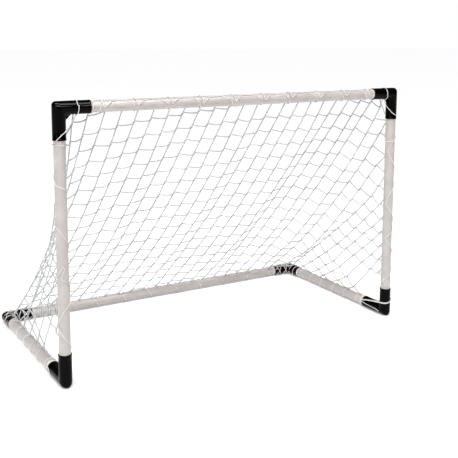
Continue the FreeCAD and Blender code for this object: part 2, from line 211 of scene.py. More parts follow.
def elbow_rings(first_leg, second_leg):
    """Rings of points from the first mouth round the corner to the second, then back through the bore."""
    rings = []

    def mitre(radius, outer_round, inner_round, steps):
        """Rings round the corner, with their own rounds on its outer and inner sides."""
        for step in range(steps + 1):
            swing = math.pi / 2 * step / steps
            ring = []
            for index in range(AROUND):
                turn = 2 * math.pi * index / AROUND
                inward = radius * math.cos(turn)
                bend = outer_round + (inner_round - outer_round) * (1 + math.cos(turn)) / 2
                along_x = inward + bend * (1 - math.cos(swing))
                along_z = inward + bend * (1 - math.sin(swing))
                ring.append((along_x, radius * math.sin(turn), along_z))
            rings.append(ring)

    def straight(radius, distance, leg):
        """One ring at a distance along a leg, with a faint parting line on the outside."""
        ring = []
        for index in range(AROUND):
            turn = 2 * math.pi * index / AROUND
            seam = PARTING_LINE if index % (AROUND // 2) == 0 and radius > SOCKET_BORE else 0
            inward = (radius + seam) * math.cos(turn)
            sideways = radius * math.sin(turn)
            ring.append((inward, sideways, distance) if leg == 1 else (distance, sideways, inward))
        rings.append(ring)

    lip = BEAD_LIP
    mouth = (
        (SOCKET_BORE, -lip * 0.6),
        (SOCKET_BORE + lip * 0.6, 0.0),
        (BEAD_RADIUS - lip, 0.0),
        (BEAD_RADIUS - lip * 0.3, -lip * 0.3),
        (BEAD_RADIUS, -lip),
        (BEAD_RADIUS, -BEAD_WIDTH + lip),
        (BEAD_RADIUS - lip * 0.4, -BEAD_WIDTH),
        (SOCKET_RADIUS, -BEAD_WIDTH - lip),
    )
    corner_start = SOCKET_RADIUS + INNER_ROUND + 0.002
    for radius, back in mouth:
        straight(radius, first_leg + back, 1)
    straight(SOCKET_RADIUS, (first_leg + corner_start) / 2, 1)
    straight(SOCKET_RADIUS, corner_start, 1)
    mitre(SOCKET_RADIUS, OUTER_ROUND, INNER_ROUND, 8)
    straight(SOCKET_RADIUS, corner_start, 2)
    straight(SOCKET_RADIUS, (second_leg + corner_start) / 2, 2)
    for radius, back in reversed(mouth):
        straight(radius, second_leg + back, 2)
    straight(SOCKET_BORE, second_leg - SOCKET_DEPTH, 2)
    straight(WATERWAY, second_leg - SOCKET_DEPTH, 2)
    bend_steps = 4
    mitre(WATERWAY, *WATERWAY_ROUNDS, bend_steps)
    rings[-bend_steps - 1 :] = rings[-bend_steps - 1 :][::-1]
    straight(WATERWAY, first_leg - SOCKET_DEPTH, 1)
    straight(SOCKET_BORE, first_leg - SOCKET_DEPTH, 1)
    return rings


def black_polypropylene():
    """Glossy moulded black: nearly mirror-smooth, with a fine orange peel and dull rubbed patches."""
    material = new_material("Polypropylene black moulded gloss")
    place = add(material, "ShaderNodeTexCoord").outputs["Object"]
    peel = add(material, "ShaderNodeTexNoise", {"Vector": place, "Scale": 1 / PEEL_SIZE, "Detail": 2.0})
    rubs = add(
        material,
        "ShaderNodeTexNoise",
        {"Vector": place, "Scale": 1 / RUB_SIZE, "Detail": 6.0, "Roughness": 0.7},
    )
    rough = add(
        material,
        "ShaderNodeMapRange",
        {"Value": rubs.outputs[0], "From Min": 0.35, "From Max": 0.75, "To Min": 0.08, "To Max": 0.24},
    )
    black = ((0.3, "#010101"), (0.8, "#030303"))
    colour = add(material, "ShaderNodeValToRGB", {"Fac": rubs.outputs[0]}, black)
    bump = add(
        material,
        "ShaderNodeBump",
        {"Height": peel.outputs[0], "Distance": PEEL_RELIEF, "Strength": 0.35},
    )
    shader = add(
        material,
        "ShaderNodeBsdfPrincipled",
        {
            "Base Color": colour.outputs[0],
            "Roughness": rough.outputs[0],
            "IOR": 1.49,
            "Specular IOR Level": 0.06,
            "Normal": bump.outputs[0],
        },
    )
    return finish_material(material, shader)


polypropylene = black_polypropylene()


def rounded_web():
    """Outline of the web in layers across its thickness, with its edges eased."""
    half, ease = WEB_THICKNESS / 2, WEB_EASE
    reach = 2 * SOCKET_RADIUS + WEB_REACH
    inner = SOCKET_RADIUS * 0.5
    layers = ((-half, ease), (-half + ease, 0), (half - ease, 0), (half, ease))
    points, faces = [], []
    for side, shrink in layers:
        slant = reach - shrink * math.sqrt(2)
        points += [(inner, side, inner), (slant - inner, side, inner), (inner, side, slant - inner)]
    for layer in range(3):
        for corner in range(3):
            a, b = layer * 3 + corner, layer * 3 + (corner + 1) % 3
            faces.append((a, b, b + 3, a + 3))
    faces += [(2, 1, 0), (9, 10, 11)]
    return points, faces


def elbow(name, corner, first, first_leg, second, second_leg, body):
    """Moulded elbow whose own Z and X lie along its two legs."""
    rings = elbow_rings(first_leg, second_leg)
    points = [point for ring in rings for point in ring]
    faces = []
    for ring in range(len(rings)):
        following = (ring + 1) % len(rings)
        for index in range(AROUND):
            beside = (index + 1) % AROUND
            faces.append(
                (
                    ring * AROUND + index,
                    following * AROUND + index,
                    following * AROUND + beside,
                    ring * AROUND + beside,
                )
            )
    web_points, web_faces = rounded_web()
    faces += [tuple(len(points) + index for index in face) for face in web_faces]
    points += web_points
    z_axis, x_axis = Vector(first), Vector(second)
    turn = Matrix((x_axis, z_axis.cross(x_axis), z_axis)).transposed().to_4x4()
    piece = mesh_object(name, points, faces, polypropylene)
    piece.data.transform(Matrix.Translation(corner) @ turn)
    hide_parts(f"{name}_elbow")
    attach(piece, body)
    return piece


TOP_LEG = 0.066
FOOT_UPRIGHT_LEG = 0.060
FOOT_SIDE_LEG = 0.080
REAR_SIDE_LEG = 0.054
REAR_CROSS_LEG = 0.061

for side, x, inwards in (("left", -SIDE_X, (1, 0, 0)), ("right", SIDE_X, (-1, 0, 0))):
    elbow(f"top_{side}", (x, FRONT_Y, TOP_Z), (0, 0, -1), TOP_LEG, inwards, TOP_LEG, "front_frame")
    elbow(
        f"front_{side}_foot",
        (x, FRONT_Y, GROUND_Z),
        (0, 0, 1),
        FOOT_UPRIGHT_LEG,
        (0, 1, 0),
        FOOT_SIDE_LEG,
        "ground_frame",
    )
    elbow(
        f"rear_{side}",
        (x, REAR_Y, GROUND_Z),
        inwards,
        REAR_CROSS_LEG,
        (0, -1, 0),
        REAR_SIDE_LEG,
        "ground_frame",
    )

# Net. Knotted netting of white twisted polyethylene twine, square-hung, about 40 mm from knot to knot.
# It is laced to the crossbar, posts, side tubes and rear tube, and is drawn nearly tight between them. Its
# columns lean, its rows arch a little, and it cuts the corner behind each post.

TWINE_RADIUS = 0.0015
ROW_MESH = 0.0385
COLUMN_MESH = 0.0445
ROWS = range(-4, 22)
COLUMNS = range(-24, 25)
# A row drops by its arch times the square of the distance from its peak, right of the goal's middle. Each
# knot of a column is a little further left than the one above it.
ROW_ARCH = 0.22
ROW_PEAK = 0.14
COLUMN_LEAN = 0.0062
MESH_SPREAD = 0.035
HEAD_GAP = 0.007
HEM_GAP = 0.007
SAG = 0.005
CORNER_CUT = 0.13
LEAST_CUT = 0.010
CUT_STEPS = 12
POST_RUN = TOP_Z - GROUND_Z
SIDE_RUN = REAR_Y - FRONT_Y
CREASE_RUN = math.hypot(POST_RUN, SIDE_RUN)
ROW_DROP = 0.45
DROP_RATE = (POST_RUN + ROW_DROP * SIDE_RUN) / CREASE_RUN
FOOT_ALONG = POST_RUN / DROP_RATE
chance = np.random.default_rng(7)


class Netting:
    """Knots and the strands between them, as they are tied, before the net hangs."""

    def __init__(self):
        self.places = []
        self.held = []
        self.strands = []
        self.lengths = []

    def knot(self, place, held=False):
        self.places.append(np.array(place, float))
        self.held.append(held)
        return len(self.places) - 1

    def strand(self, a, b):
        length = np.linalg.norm(self.places[a] - self.places[b])
        self.strands.append((a, b))
        self.lengths.append(length * (1 + MESH_SPREAD * chance.uniform(-1, 1)))


net = Netting()

# The back of the net runs nearly straight from under the crossbar to the top of the rear tube. The lowest
# and highest ties on a post, and the first and last on a side tube, stay just clear of the elbows.
LAID_ON = GROUND_Z + TUBE_RADIUS + 0.002
HEAD = np.array((FRONT_Y + 0.004, TOP_Z - TUBE_RADIUS))
HEM = np.array((REAR_Y - 0.003, LAID_ON))
POST_TIES = (GROUND_Z + FOOT_UPRIGHT_LEG + 0.006, TOP_Z - TOP_LEG - 0.005)
SIDE_TIES = (FRONT_Y + FOOT_SIDE_LEG + 0.006, REAR_Y - 0.020)
HALF_WAY_UP = TOP_Z / 2


def back_point(share):
    """Y and Z of the back of the net at a share of the way down."""
    sag = SAG * 4 * share * (1 - share)
    fall = (HEM - HEAD) / np.linalg.norm(HEM - HEAD)
    return HEAD + (HEM - HEAD) * share + sag * np.array((fall[1], -fall[0]))


def laced_point(share):
    """Point on the left post or side tube where a row is tied. Rows slope down a little from the crease."""
    along = CREASE_RUN * share
    if along <= FOOT_ALONG:
        z = TOP_Z - along * DROP_RATE
        z = np.interp(z, (GROUND_Z, HALF_WAY_UP, TOP_Z), (POST_TIES[0], HALF_WAY_UP, TOP_Z))
        return np.array((-SIDE_X, FRONT_Y + TUBE_RADIUS + 0.001, min(z, POST_TIES[1])))
    y = FRONT_Y + SIDE_RUN * (along - FOOT_ALONG) / (CREASE_RUN - FOOT_ALONG)
    y = np.interp(y, (FRONT_Y, 0, REAR_Y), (SIDE_TIES[0], 0, REAR_Y))
    return np.array((-SIDE_X, min(y, SIDE_TIES[1]), LAID_ON))


def row_line(share):
    """Half of one row, from the middle of the goal to its lacing: straight along the back, then round the
    corner in the short cut that a tight row takes. The cut is widest a third of the way down, and grows
    smaller towards the ground, where the net is gathered."""
    y, z = back_point(share)
    crease = np.array((-SIDE_X, y, z))
    tied = laced_point(share)
    side = np.linalg.norm(tied - crease)
    cut = LEAST_CUT + CORNER_CUT * math.sin(math.pi * share) ** 1.1 * (1.9 - 2.1 * share)
    start = crease + (cut, 0, 0)
    end = crease + (tied - crease) * min(1.0, 1.25 * cut / side)
    line = [np.array((0, y, z)), start]
    for step in range(1, CUT_STEPS + 1):
        t = step / CUT_STEPS
        line.append((1 - t) ** 2 * start + 2 * t * (1 - t) * crease + t * t * end)
    if np.linalg.norm(tied - end) > 0.002:
        line.append(tied)
    line = np.array(line)
    spans = np.linalg.norm(np.diff(line, axis=0), axis=1)
    return line, np.concatenate(([0], np.cumsum(spans)))


def net_place(across, down):
    """Point of the net at a distance across from its middle, and a distance down from the crossbar, with
    how far inside the laced edge it is."""
    line, run = row_line(min(max(down / CREASE_RUN, 0.001), 0.999))
    point = np.array([np.interp(abs(across), run, line[:, axis]) for axis in range(3)])
    return point * (-1 if across > 0 else 1, 1, 1), run[-1] - abs(across)


def knot_spot(row, column):
    """Where a knot lies in the net: the columns lean, and each row arches down to the two posts."""
    across = column * ROW_MESH - row * COLUMN_LEAN
    arch = ROW_ARCH * (min(max(across, -SIDE_X), SIDE_X) - ROW_PEAK) ** 2
    return across, row * COLUMN_MESH + arch


FOOT_CLEAR = 0.080
REAR_CLEAR = 0.035
REAR_END_CLEAR = 0.020
LONGEST_TIE = 0.095
EDGE_MARGIN = 0.35 * ROW_MESH
AT_EDGE = 1.1 * EDGE_MARGIN


def inside(across, down, margin):
    """Whether a knot lies within the laced edge, and clear of the elbows where the net is gathered."""
    if not HEAD_GAP < down < CREASE_RUN - HEM_GAP:
        return False
    point, spare = net_place(across, down)
    place = (abs(point[0]), point[1], point[2])
    if math.dist(place, (SIDE_X, FRONT_Y, GROUND_Z)) < FOOT_CLEAR:
        return False
    if math.dist(place, (SIDE_X, REAR_Y, GROUND_Z)) < REAR_CLEAR:
        return False
    return spare > margin


def tied_spot(start, end):
    """Where a strand that runs out of the net is tied: on the crossbar, the rear tube, or a laced edge."""
    near, far = 0.0, 1.0
    for _ in range(12):
        middle = (near + far) / 2
        across, down = [a + (b - a) * middle for a, b in zip(start, end)]
        if 0 < down < CREASE_RUN and net_place(across, down)[1] > 0:
            near = middle
        else:
            far = middle
    across, down = [a + (b - a) * near for a, b in zip(start, end)]
    point, spare = net_place(across, down)
    if spare <= AT_EDGE:
        return laced_point(down / CREASE_RUN) * (-1 if across > 0 else 1, 1, 1)
    if down < CREASE_RUN / 2:
        reach = SIDE_X - TOP_LEG * 0.5
        y, z = HEAD[0] + 0.002, TOP_Z - TUBE_RADIUS * 0.9
    else:
        reach = SIDE_X - REAR_END_CLEAR
        y, z = HEM[0], HEM[1] - 0.001
    return np.array((min(max(point[0], -reach), reach), y, z))


knots = {}
for row in ROWS:
    for column in COLUMNS:
        across, down = knot_spot(row, column)
        if inside(across, down, EDGE_MARGIN):
            knots[row, column] = net.knot(net_place(across, down)[0])
for (row, column), knot in list(knots.items()):
    for step in ((0, 1), (1, 0), (0, -1), (-1, 0)):
        beside = (row + step[0], column + step[1])
        if beside in knots and sum(step) > 0:
            net.strand(knot, knots[beside])
        elif beside not in knots:
            tied = tied_spot(knot_spot(row, column), knot_spot(*beside))
            if np.linalg.norm(tied - net.places[knot]) < LONGEST_TIE:
                net.strand(knot, net.knot(tied, held=True))

# The net settles under a part of its own weight, as one laced this tight does. A strand pulls when it is
# too long, pushes back a little when it is much too short, and a knot can't pass into a tube or the ground.
# Each tube is given by the two axes across it and where its centre line crosses them.
TUBE_LINES = (
    ((1, 2), (FRONT_Y, TOP_Z)),
    ((1, 2), (REAR_Y, GROUND_Z)),
    ((0, 2), (-SIDE_X, GROUND_Z)),
    ((0, 2), (SIDE_X, GROUND_Z)),
    ((0, 1), (-SIDE_X, FRONT_Y)),
    ((0, 1), (SIDE_X, FRONT_Y)),
)
TICK = 1 / 120  # seconds
TICKS = 150
SWEEPS = 20
PULL_DOWN = 1.2
SPEED_KEPT = 0.97
SHORTEST = 0.78
PUSH_BACK = 0.15
OFF_TUBE = TUBE_RADIUS + TWINE_RADIUS
OFF_GROUND = 2 * TWINE_RADIUS


def colour_strands(strands, count):
    """Groups of strands in which no knot comes twice, so that each group can be pulled at once."""
    taken = [set() for _ in range(count)]
    groups = []
    for index, (a, b) in enumerate(strands):
        shade = 0
        while shade in taken[a] or shade in taken[b]:
            shade += 1
        taken[a].add(shade)
        taken[b].add(shade)
        while len(groups) <= shade:
            groups.append([])
        groups[shade].append(index)
    return [np.array(group) for group in groups]


def hang(net):
    """Places of the knots once the net has settled."""
    places = np.array(net.places, float)
    free = ~np.array(net.held)
    strands = np.array(net.strands)
    lengths = np.array(net.lengths)
    groups = colour_strands(net.strands, len(places))
    speed = np.zeros_like(places)
    for _ in range(TICKS):
        speed[:, 2] -= PULL_DOWN * TICK
        speed *= SPEED_KEPT
        guess = np.where(free[:, None], places + speed * TICK, places)
        for _ in range(SWEEPS):
            for group in groups:
                a, b = strands[group, 0], strands[group, 1]
                gap = guess[b] - guess[a]
                far = np.linalg.norm(gap, axis=1) + 1e-12
                wanted = np.clip(far, SHORTEST * lengths[group], lengths[group])
                soft = np.where(far > lengths[group], 1.0, PUSH_BACK)
                pull = gap * ((far - wanted) / far * soft)[:, None]
                loose = np.maximum(free[a].astype(float) + free[b], 1)
                guess[a] += pull * (free[a] / loose)[:, None]
                guess[b] -= pull * (free[b] / loose)[:, None]
            for across, centre in TUBE_LINES:
                off = guess[:, across] - centre
                away = np.linalg.norm(off, axis=1) + 1e-12
                near = free & (away < OFF_TUBE)
                guess[np.ix_(near, across)] = off[near] / away[near, None] * OFF_TUBE + centre
            guess[:, 2] = np.maximum(guess[:, 2], OFF_GROUND)
        speed = (guess - places) / TICK
        places = guess
    return places


places = hang(net)


def sweep_tube(points, radius, sides=6):
    """Closed round tube along points: its vertices, faces and, for each face corner, how far round and
    along the cord it lies."""
    points = np.asarray(points, float)
    ahead = np.gradient(points, axis=0)
    ahead /= np.linalg.norm(ahead, axis=1)[:, None] + 1e-12
    side = np.cross(ahead[0], (0.0, 0.0, 1.0))
    nearly_upright = np.linalg.norm(side) < 0.2
    if nearly_upright:
        side = np.cross(ahead[0], (0.0, 1.0, 0.0))
    run = np.concatenate(([0], np.cumsum(np.linalg.norm(np.diff(points, axis=0), axis=1))))
    vertices = []
    for point, direction in zip(points, ahead):
        side = side - direction * np.dot(side, direction)
        side /= np.linalg.norm(side)
        other = np.cross(direction, side)
        for index in range(sides):
            turn = 2 * math.pi * index / sides
            vertices.append(point + radius * (math.cos(turn) * side + math.sin(turn) * other))
    faces, marks = [], []
    for ring in range(len(points) - 1):
        for index in range(sides):
            beside = (index + 1) % sides
            here, there = ring * sides, (ring + 1) * sides
            faces.append((here + index, here + beside, there + beside, there + index))
            low, high = index / sides, (index + 1) / sides
            marks += [(low, run[ring]), (high, run[ring]), (high, run[ring + 1]), (low, run[ring + 1])]
    last = (len(points) - 1) * sides
    faces.append(tuple(range(sides))[::-1])
    faces.append(tuple(last + index for index in range(sides)))
    marks += [(0.0, 0.0)] * (2 * sides)
    return vertices, faces, marks


class CordMesh:
    """Gathers cords and knots into one mesh. No cord goes below the ground."""

    def __init__(self):
        self.vertices, self.faces, self.marks = [], [], []

    def add(self, points, radius, sides=6):
        points = np.array(points, float)
        points[:, 2] = np.maximum(points[:, 2], radius)
        vertices, faces, marks = sweep_tube(points, radius, sides)
        start = len(self.vertices)
        self.vertices += [tuple(v) for v in vertices]
        self.faces += [tuple(start + index for index in face) for face in faces]
        self.marks += marks

    def piece(self, name, material):
        result = mesh_object(name, self.vertices, self.faces, material)
        layer = result.data.uv_layers.new(name="cord")
        layer.data.foreach_set("uv", [number for mark in self.marks for number in mark])
        return result


STRAND_BENDS = 6
SPRINGINESS = 0.4
SIDEWAYS = 0.5


def strand_points(a, b, length):
    """Points along a strand. Where it is slack it sags, though a springy twine sags less than a limp one and
    also bows a little to one side."""
    chord = np.linalg.norm(b - a)
    spare = max(length - chord, 0.0)
    sag = math.sqrt(3 * chord * spare / 8) * SPRINGINESS
    lean = np.array((chance.uniform(-SIDEWAYS, SIDEWAYS), chance.uniform(-SIDEWAYS, SIDEWAYS), -1.0))
    lean /= np.linalg.norm(lean)
    return [a + (b - a) * t + lean * sag * 4 * t * (1 - t) for t in np.linspace(0, 1, STRAND_BENDS)]


KNOT_SIZE = 0.0026
KNOT_LENGTH = 0.0085
KNOT_BENDS = 16
KNOT_TWINE_RADIUS = 0.0010
KNOT_SIDES = 5


def knot_points(centre, across, down):
    """Small overhand knot that lies in the net: a narrow trefoil drawn out down the column."""
    across = across / (np.linalg.norm(across) + 1e-12)
    normal = np.cross(across, down)
    normal /= np.linalg.norm(normal) + 1e-12
    down = np.cross(normal, across)
    points = []
    for index in range(KNOT_BENDS + 1):
        turn = 2 * math.pi * index / KNOT_BENDS
        x = math.sin(turn) + 2 * math.sin(2 * turn)
        y = math.cos(turn) - 2 * math.cos(2 * turn)
        z = -math.sin(3 * turn)
        points.append(centre + KNOT_SIZE / 3 * (0.7 * x * across + 1.5 * y * down + z * normal))
    return points


STRANDS_IN_TWIST = 3.0
TWIST_RELIEF = 0.0002
SOIL_SIZE = 1 / 14  # soiled patches about 70 mm across


def twisted_twine(name, light, painted_groove_shade, pitch):
    """White twisted cord: bright fibres in a tight twist, with painted shade in the grooves between its
    strands, where it is drawn greyer, and patches a little soiled by handling."""
    material = new_material(name)
    marks = add(material, "ShaderNodeUVMap", uv_map="cord").outputs[0]
    parts = add(material, "ShaderNodeSeparateXYZ", {"Vector": marks})
    climb = add(material, "ShaderNodeMath", {0: parts.outputs["Y"], 1: pitch}, operation="DIVIDE")
    strand = add(
        material,
        "ShaderNodeMath",
        {0: parts.outputs["X"], 1: STRANDS_IN_TWIST, 2: climb.outputs[0]},
        operation="MULTIPLY_ADD",
    )
    turn = add(material, "ShaderNodeMath", {0: strand.outputs[0], 1: 2 * math.pi}, operation="MULTIPLY")
    wave = add(material, "ShaderNodeMath", {0: turn.outputs[0]}, operation="SINE")
    height = add(
        material,
        "ShaderNodeMapRange",
        {"Value": wave.outputs[0], "From Min": -1.0, "From Max": 1.0},
    )
    place = add(material, "ShaderNodeTexCoord").outputs["Object"]
    soil = add(material, "ShaderNodeTexNoise", {"Vector": place, "Scale": 1 / SOIL_SIZE, "Detail": 4.0})
    mixed = add(
        material,
        "ShaderNodeMath",
        {0: height.outputs[0], 1: 0.3, 2: soil.outputs[0]},
        operation="MULTIPLY_ADD",
    )
    # The colour follows the twist's height: painted shade, greyer in the grooves and lighter on the crests.
    colour = add(material, "ShaderNodeValToRGB", {"Fac": mixed.outputs[0]}, ((0.4, painted_groove_shade), (0.85, light)))
    bump = add(
        material,
        "ShaderNodeBump",
        {"Height": height.outputs[0], "Distance": TWIST_RELIEF, "Strength": 0.8},
    )
    shader = add(
        material,
        "ShaderNodeBsdfPrincipled",
        {
            "Base Color": colour.outputs[0],
            "Roughness": 0.55,
            "IOR": 1.5,
            "Normal": bump.outputs[0],
            "Sheen Weight": 0.15,
            "Sheen Roughness": 0.4,
        },
    )
    return finish_material(material, shader)


# The twine is white. Both its colours are greyer than white as painted shade, and the darker one is painted
# shade in the grooves.
twine = twisted_twine("Polyethylene twine white twisted", "#C4C6C6", "#A2A5A6", 0.004)
netting = CordMesh()
row_of = {knot: place for place, knot in knots.items()}


def column_way(knot):
    """Direction down the column at a knot."""
    row, column = row_of[knot]
    above, below = knots.get((row - 1, column)), knots.get((row + 1, column))
    upper = places[above] if above is not None else places[knot]
    lower = places[below] if below is not None else places[knot]
    way = lower - upper
    length = np.linalg.norm(way)
    return way / length if length > 1e-6 else np.array((0, 0, -1.0))


def strand_end(knot, other):
    """A row's strands leave the two ends of the long knot: the left one low, the right one high."""
    if knot not in row_of:
        return places[knot]
    way = column_way(knot)
    beside = places[other] - places[knot]
    runs_down_column = abs(np.dot(beside, way)) > 0.75 * np.linalg.norm(beside)
    if runs_down_column:
        return places[knot]
    row, column = row_of[knot]
    neighbour = row_of.get(other, (row, column + (1 if beside[0] > 0 else -1)))
    return places[knot] + way * KNOT_LENGTH / 2 * (-1 if neighbour[1] > column else 1)


for (a, b), length in zip(net.strands, net.lengths):
    netting.add(strand_points(strand_end(a, b), strand_end(b, a), length), TWINE_RADIUS)
for (row, column), knot in knots.items():
    beside = knots.get((row, column + 1), knots.get((row, column - 1)))
    if beside is not None:
        tied = knot_points(places[knot], places[beside] - places[knot], column_way(knot))
        netting.add(tied, KNOT_TWINE_RADIUS, KNOT_SIDES)
net_piece = netting.piece("net", twine)
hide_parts("net_back", "net_left", "net_right")
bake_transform(net_piece)

# Lacing. One long white twisted cord is led along each tube and taken round it at every mesh or two, where
# it catches the net's edge. On the crossbar it makes a row of low arches, and on the posts a long zigzag.

LACING_RADIUS = 0.0009
LACING_HOLD = TUBE_RADIUS + LACING_RADIUS
LACING_SIDES = 8
LACING_TWIST = 0.0035
WIND_TURN = 15
WIND_RUN = 0.008
END_GAP = 0.022


def rounded(points, passes=2):
    """Cut the corners off a line of points, which a springy cord can't follow."""
    points = np.array(points, float)
    for _ in range(passes):
        near = 0.75 * points[:-1] + 0.25 * points[1:]
        far = 0.25 * points[:-1] + 0.75 * points[1:]
        inner = np.empty((2 * len(near), points.shape[1]))
        inner[0::2], inner[1::2] = near, far
        points = np.vstack((points[:1], inner, points[-1:]))
    return points


def wound(start, direction, facing, stations):
    """Path of a cord wound on a tube. Each station is a distance along the tube, an angle round it in
    degrees from the facing side, and how far the cord stands off the tube."""
    start, direction, facing = np.array(start), np.array(direction), np.array(facing)
    side = np.cross(facing, direction)
    path = []
    for here, there in zip(stations, stations[1:]):
        run, turn = there[0] - here[0], there[1] - here[1]
        steps = max(2, int(abs(turn) / WIND_TURN) + int(abs(run) / WIND_RUN))
        for step in range(steps):
            path.append([a + (b - a) * (step / steps) for a, b in zip(here, there)])
    path.append(stations[-1])
    path = rounded(path)
    turns = np.radians(path[:, 1])
    hold = LACING_HOLD + path[:, 2]
    return (
        start
        + path[:, :1] * direction
        + (hold * np.cos(turns))[:, None] * facing
        + (hold * np.sin(turns))[:, None] * side
    )


# The darker colour is painted shade in the grooves between the cord's strands.
lacing_cord = twisted_twine("Polyester cord white laid", "#E2DFDB", "#BDB7B2", LACING_TWIST)


def lacing(name, paths, nodes, body):
    cord = CordMesh()
    for path in paths:
        cord.add(path, LACING_RADIUS, LACING_SIDES)
    piece = cord.piece(name, lacing_cord)
    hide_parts(*nodes)
    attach(piece, body)
    return piece


def jitter(amount):
    return chance.uniform(-amount, amount)


def arches(first, last, spacing, low, high, rise=0.0):
    """Stations of a cord that arches from hitch to hitch, with one turn round the tube at each. It lies
    between the low and the high angle, and stands off the tube by the rise at the top of an arch."""
    count = round((last - first) / spacing)
    half = (last - first) / count / 2
    stations, base = [], 0.0
    for hitch in range(count + 1):
        run = first + (last - first) * hitch / count + jitter(0.003)
        stations += [
            (run - 0.006, base + low + 12 + jitter(6), 0.0),
            (run, base + low - 50, 0.0004),
            (run + 0.002, base + low - 180, 0.0),
            (run + 0.001, base + low - 300, 0.0009),
            (run + 0.004, base + low - 352 + jitter(6), 0.0012),
        ]
        base -= 360
        if hitch < count:
            stations += [
                (run + half * 0.6, base + high - 10 + jitter(8), 0.0004),
                (run + half * 1.35, base + high + jitter(8), rise),
            ]
    return stations


def zigzag(stations):
    """Stations given in millimetres."""
    return [(run / 1000, turn, lift / 1000) for run, turn, lift in stations]


def along_bar(y, z, leg, spacing, low, high, rise):
    """Lacing along a tube across the goal, from one elbow to the other."""
    stations = arches(leg + END_GAP, 2 * SIDE_X - leg - END_GAP, spacing, low, high, rise)
    return wound((-SIDE_X, y, z), (1, 0, 0), (0, -1, 0), stations)


crossbar_path = along_bar(FRONT_Y, TOP_Z, TOP_LEG, 0.082, -8, 62, 0.0)
rear_path = along_bar(REAR_Y, GROUND_Z, REAR_CROSS_LEG, 0.076, 28, 96, 0.004)
lacing("lacing_crossbar", [crossbar_path], ["crossbar_lacing"], "front_frame")
lacing("lacing_rear", [rear_path], ["rear_lacing"], "ground_frame")

# Round the posts the cord swings from the outer side to the net side and back, once for each hitch.
left_post = wound(
    (-SIDE_X, FRONT_Y, 0),
    (0, 0, 1),
    (0, -1, 0),
    zigzag(
        (
            (82, -100, 0),
            (90, -60, 0),
            (128, 62, 0),
            (134, 96, 0),
            (170, 20, 0),
            (196, -88, 0),
            (222, -80, 0),
            (238, 20, 0),
            (243, 34, 0),
            (262, 0, 0),
            (268, 12, 0.4),
            (246, 70, 1.9),
            (236, 150, 1.9),
            (262, 215, 0.6),
            (300, 260, 0),
            (318, 330, 0),
            (345, 400, 0),
            (352, 450, 0),
            (372, 530, 0),
            (410, 600, 0),
            (424, 660, 0),
            (432, 720, 0),
            (438, 780, 0),
            (470, 880, 0),
            (500, 960, 0),
            (522, 1010, 0),
        )
    ),
)
right_post = wound(
    (SIDE_X, FRONT_Y, 0),
    (0, 0, 1),
    (0, -1, 0),
    zigzag(
        (
            (82, 150, 0),
            (86, 40, 0),
            (100, 70, 0),
            (122, -40, 0),
            (140, -86, 0),
            (168, -78, 0),
            (205, 40, 0),
            (216, 62, 0),
            (236, -50, 0),
            (250, -84, 0),
            (276, -20, 0),
            (306, 62, 0),
            (330, 40, 0),
            (352, -40, 0),
            (366, -82, 0),
            (392, -74, 0),
            (424, 20, 0),
            (448, 62, 0),
            (466, 20, 0),
            (486, -62, 0),
            (474, -10, 1.9),
            (470, 90, 1.9),
            (500, 190, 0.4),
            (522, 250, 0),
        )
    ),
)
lacing("lacing_left_post", [left_post], ["left_post_lacing"], "front_frame")
lacing("lacing_right_post", [right_post], ["right_post_lacing"], "front_frame")

for side, x, outer in (("left", -SIDE_X, -1), ("right", SIDE_X, 1)):
    stations = arches(FOOT_SIDE_LEG + 0.024, SIDE_RUN - REAR_SIDE_LEG - 0.02, 0.052, 20, 80)
    stations = [(run, turn * -outer, lift) for run, turn, lift in stations]
    path = wound((x, FRONT_Y, GROUND_Z), (0, 1, 0), (outer, 0, 0), stations)
    lacing(f"lacing_{side}_side", [path], [f"{side}_side_lacing"], "ground_frame")

# Corner ties. At each elbow the end of the lacing is wound round the tube beside the bead, taken over the
# elbow and knotted. The rear elbows are wound over and over, so that the net's gathered corner can't slip.

SOCKET_LIFT = SOCKET_RADIUS - TUBE_RADIUS
CLOSE_TURNS = 0.0021
OPEN_TURNS = 0.0062
TURN_STEPS = 12
# Three cords cross the rear sockets both ways. Each starts at its own angle and climbs by its own amount
# in a turn.
CROSSINGS = ((10.0, 0.052), (130.0, 0.058), (250.0, 0.047))
CROSSING_START = 0.010
CROSSING_END = REAR_CROSS_LEG - 0.002


def ring(start, direction, facing, run, turns, lift, first=0.0, spacing=CLOSE_TURNS):
    """Turns round a tube or socket, side by side."""
    count = int(turns * TURN_STEPS)
    stations = []
    for step in range(count + 1):
        stations.append((run + spacing * turns * step / count, first + 360 * turns * step / count, lift))
    return wound(start, direction, facing, stations)


def over(*points):
    """Cord led through points in space."""
    return rounded(np.array(points, float), 3)


